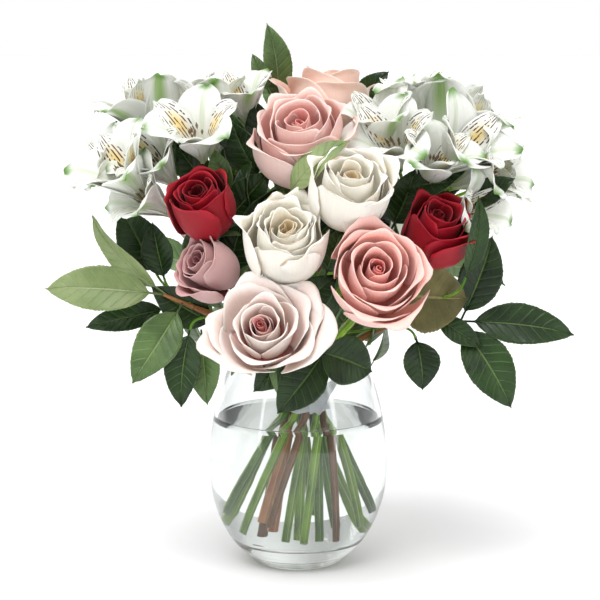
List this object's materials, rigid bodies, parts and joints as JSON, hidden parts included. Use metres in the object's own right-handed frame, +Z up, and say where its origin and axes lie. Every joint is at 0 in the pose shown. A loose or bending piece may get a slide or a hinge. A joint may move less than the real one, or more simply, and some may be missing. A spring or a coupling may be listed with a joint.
{
  "type": "roses in a vase",
  "caption": "Hand-tied bouquet of roses, Peruvian lilies and leafy sprigs, standing in water in a rounded clear glass vase with a thick base.",
  "frame": {"origin": "centre of the vase's foot, on the surface that it stands on", "axes": "+Z up along the vase's axis, -Y towards the bouquet's show side, +X to the right of someone who looks at that side"},
  "size_m": [0.3663, 0.2466, 0.3771],
  "materials": {
    "glass": "clear polished soda-lime glass",
    "water": "clear still water",
    "clear_tape": "translucent wrap",
    "blush_petal": "pale blush petals, matte, rosy heart",
    "coral_petal": "coral pink petals, paler outside",
    "cream_petal": "cream white petals",
    "red_petal": "velvety deep red petals",
    "mauve_petal": "dusky mauve petals",
    "pink_petal": "soft pink petals, matte",
    "peach_petal": "peach pink petals",
    "lily_petal": "white tepals with green tips, yellow patches and dark streaks",
    "stem": "fresh green cut stem, satin",
    "twig": "brown woody twig with olive leaves",
    "leaf": "dark green leaf, satin upper side and duller underside"
  },
  "bodies": {
    "root": {"vase": "glass", "water": "water", "tie": "clear_tape", "rose_blush_front": "blush_petal", "rose_coral_right": "coral_petal", "rose_cream_centre": "cream_petal", "rose_red_left": "red_petal", "rose_red_right": "red_petal", "rose_mauve_left": "mauve_petal", "rose_pink_back": "pink_petal", "rose_cream_back": "cream_petal", "rose_red_back": "red_petal", "rose_pink_upper": "pink_petal", "rose_cream_upper": "cream_petal", "rose_peach_top": "peach_petal", "stem_blush_front": "stem", "stem_coral_right": "stem", "stem_cream_centre": "stem", "stem_red_left": "stem", "stem_red_right": "stem", "stem_mauve_left": "stem", "stem_pink_back": "stem", "stem_cream_back": "stem", "stem_red_back": "stem", "stem_pink_upper": "stem", "stem_cream_upper": "stem", "stem_peach_top": "stem", "lily_left_low": "lily_petal", "lily_left_mid": "lily_petal", "lily_left_top": "lily_petal", "lily_left_back": "lily_petal", "lily_top": "lily_petal", "lily_right_mid": "lily_petal", "lily_right_low": "lily_petal", "lily_right_top": "lily_petal", "lily_far_right": "lily_petal", "lily_back_left": "lily_petal", "lily_back_right": "lily_petal", "lily_stem_left": "stem", "lily_stem_right": "stem", "lily_stem_back": "stem", "sprig_left": "twig", "sprig_right": "twig", "sprig_back": "twig", "leaf_left_behind": "leaf", "leaf_left_upright": "leaf", "leaf_left_low": "leaf", "leaf_down_left": "leaf", "leaf_front_down": "leaf", "leaf_front_right": "leaf", "leaf_olive_round": "leaf", "leaf_down_right": "leaf", "leaf_over_red": "leaf", "leaf_right_top": "leaf", "leaf_top": "leaf", "leaf_top_right": "leaf", "leaf_back_top": "leaf", "leaf_back_low": "leaf", "leaf_back_down": "leaf", "leaf_back_left": "leaf"}
  },
  "joints": []
}
